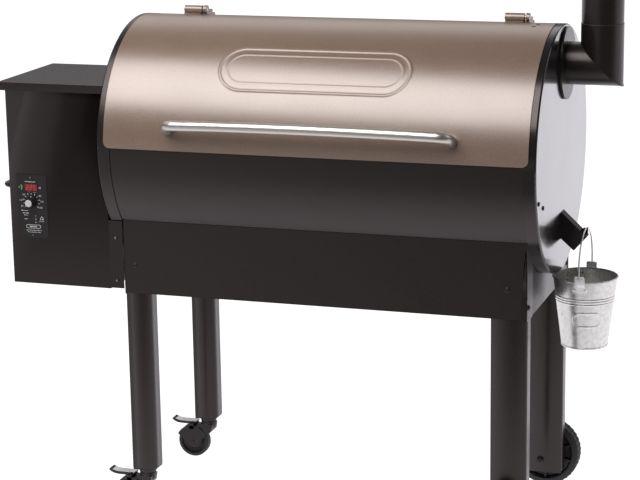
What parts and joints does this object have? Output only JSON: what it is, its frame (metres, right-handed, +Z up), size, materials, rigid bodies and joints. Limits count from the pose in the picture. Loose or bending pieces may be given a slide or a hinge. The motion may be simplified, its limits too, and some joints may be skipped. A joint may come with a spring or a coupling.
{
  "type": "pellet smoker grill",
  "caption": "Barrel-shaped wood-pellet smoker grill with a hinged lid, side pellet hopper, chimney, grease bucket, and legs on casters and wheels.",
  "frame": {"origin": "on the floor, under the middle of the grill's box", "axes": "+X to the chimney end, +Y to the back, +Z up; the front faces -Y"},
  "size_m": [1.3394, 0.572, 1.245],
  "materials": {
    "black_coat": "semi-gloss black powder coat",
    "bronze_coat": "bronze metallic powder coat with fine hammer texture",
    "stainless": "brushed",
    "galvanised": "bright galvanised sheet",
    "black_bolt": "black oxide",
    "black_plastic": "satin black moulding",
    "bright_steel": "zinc plated",
    "enamel": "porcelain enamelled rod",
    "tray_steel": "high-temperature black",
    "display_red": "red display filter",
    "gasket": "woven heat gasket"
  },
  "bodies": {
    "chassis": {"auger_motor": "black_coat", "auger_tube": "black_coat", "barrel_shell": "black_coat", "blower_housing": "black_coat", "caster_sockets": "black_plastic", "chimney_elbow": "black_coat", "chimney_gasket": "gasket", "chimney_pipe": "black_coat", "control_panel": "black_plastic", "cooking_grate_left": "enamel", "cooking_grate_middle": "enamel", "cooking_grate_right": "enamel", "display_window": "display_red", "drip_tray": "tray_steel", "fire_pot": "stainless", "frame_bolts": "black_bolt", "grate_rails": "bright_steel", "grease_spout": "black_coat", "grease_trough": "black_coat", "heat_baffle": "black_coat", "hinge_brackets": "bronze_coat", "hinge_pins": "stainless", "hopper_body": "black_coat", "hopper_funnel": "black_coat", "hopper_guard": "bright_steel", "hopper_handle": "black_coat", "igniter_rod": "stainless", "left_end_cap": "black_coat", "leg_front_left": "black_coat", "leg_front_right": "black_coat", "leg_rear_left": "black_coat", "leg_rear_right": "black_coat", "panel_screws": "black_bolt", "power_inlet": "black_plastic", "right_end_cap": "black_coat", "skirt_back": "black_coat", "skirt_front": "black_coat", "skirt_left": "black_coat", "skirt_right": "black_coat", "temperature_probe": "stainless", "wheel_axles": "black_bolt"},
    "lid": {"lid_shell": "bronze_coat", "lid_handle": "stainless", "lid_knuckles": "bronze_coat"},
    "hopper_lid": {"hopper_lid": "black_coat"},
    "knob": {"control_knob": "black_plastic"},
    "auger": {"auger_screw": "bright_steel"},
    "impeller": {"blower_impeller": "black_plastic"},
    "chimney_cap": {"chimney_cap": "black_coat"},
    "bail": {"bucket_bail": "galvanised"},
    "bucket": {"bucket_pail": "galvanised", "bucket_lugs": "galvanised"},
    "caster_front": {"caster_fork_front": "black_plastic"},
    "caster_front_wheel": {"caster_wheel_front": "black_plastic"},
    "caster_front_brake": {"caster_brake_front": "bright_steel"},
    "caster_rear": {"caster_fork_rear": "black_plastic"},
    "caster_rear_wheel": {"caster_wheel_rear": "black_plastic"},
    "caster_rear_brake": {"caster_brake_rear": "bright_steel"},
    "wheel_front": {"road_wheel_front": "black_plastic"},
    "wheel_rear": {"road_wheel_rear": "black_plastic"}
  },
  "joints": [
    {"name": "lid_hinge", "type": "hinge", "parent": "chassis", "child": "lid", "pos_m": [0.06775, 0.03652, 1.0865], "axis": [-1, 0, 0], "range_deg": [0, 88]},
    {"name": "hopper_lid_hinge", "type": "hinge", "parent": "chassis", "child": "hopper_lid", "pos_m": [-0.52225, 0.07652, 0.943], "axis": [-1, 0, 0], "range_deg": [0, 105]},
    {"name": "dial_turn", "type": "hinge", "parent": "chassis", "child": "knob", "pos_m": [-0.58225, -0.18298, 0.689], "axis": [0, 1, 0], "range_deg": [0, 270]},
    {"name": "auger_spin", "type": "hinge", "parent": "chassis", "child": "auger", "pos_m": [-0.29225, 0.02452, 0.612], "axis": [1, 0, 0], "continuous": true},
    {"name": "impeller_spin", "type": "hinge", "parent": "chassis", "child": "impeller", "pos_m": [-0.45725, -0.06548, 0.567], "axis": [1, 0, 0], "continuous": true},
    {"name": "cap_adjust", "type": "slide", "parent": "chassis", "child": "chimney_cap", "axis": [0, 0, 1], "range_m": [0, 0.012]},
    {"name": "bail_swing", "type": "hinge", "parent": "chassis", "child": "bail", "pos_m": [0.58575, 0.02802, 0.65], "axis": [0, -1, 0], "range_deg": [0, 40]},
    {"name": "bucket_tilt", "type": "hinge", "parent": "bail", "child": "bucket", "pos_m": [0.58575, 0.02802, 0.557], "axis": [0, -1, 0], "range_deg": [-4, 40]},
    {"name": "caster_front_swivel", "type": "hinge", "parent": "chassis", "child": "caster_front", "pos_m": [-0.34425, -0.15498, 0.077], "axis": [0, 0, 1], "continuous": true},
    {"name": "caster_front_roll", "type": "hinge", "parent": "caster_front", "child": "caster_front_wheel", "pos_m": [-0.38125, -0.15498, 0.0375], "axis": [0, 1, 0], "continuous": true},
    {"name": "caster_front_lock", "type": "hinge", "parent": "caster_front", "child": "caster_front_brake", "pos_m": [-0.38225, -0.15498, 0.085], "axis": [0, -1, 0], "range_deg": [0, 7]},
    {"name": "caster_rear_swivel", "type": "hinge", "parent": "chassis", "child": "caster_rear", "pos_m": [-0.34425, 0.21302, 0.077], "axis": [0, 0, 1], "continuous": true},
    {"name": "caster_rear_roll", "type": "hinge", "parent": "caster_rear", "child": "caster_rear_wheel", "pos_m": [-0.38125, 0.21302, 0.0375], "axis": [0, 1, 0], "continuous": true},
    {"name": "caster_rear_lock", "type": "hinge", "parent": "caster_rear", "child": "caster_rear_brake", "pos_m": [-0.38225, 0.21302, 0.085], "axis": [0, -1, 0], "range_deg": [0, 7]},
    {"name": "wheel_front_roll", "type": "hinge", "parent": "chassis", "child": "wheel_front", "pos_m": [0.45975, -0.20148, 0.076], "axis": [0, 1, 0], "continuous": true},
    {"name": "wheel_rear_roll", "type": "hinge", "parent": "chassis", "child": "wheel_rear", "pos_m": [0.45975, 0.25952, 0.076], "axis": [0, 1, 0], "continuous": true}
  ]
}
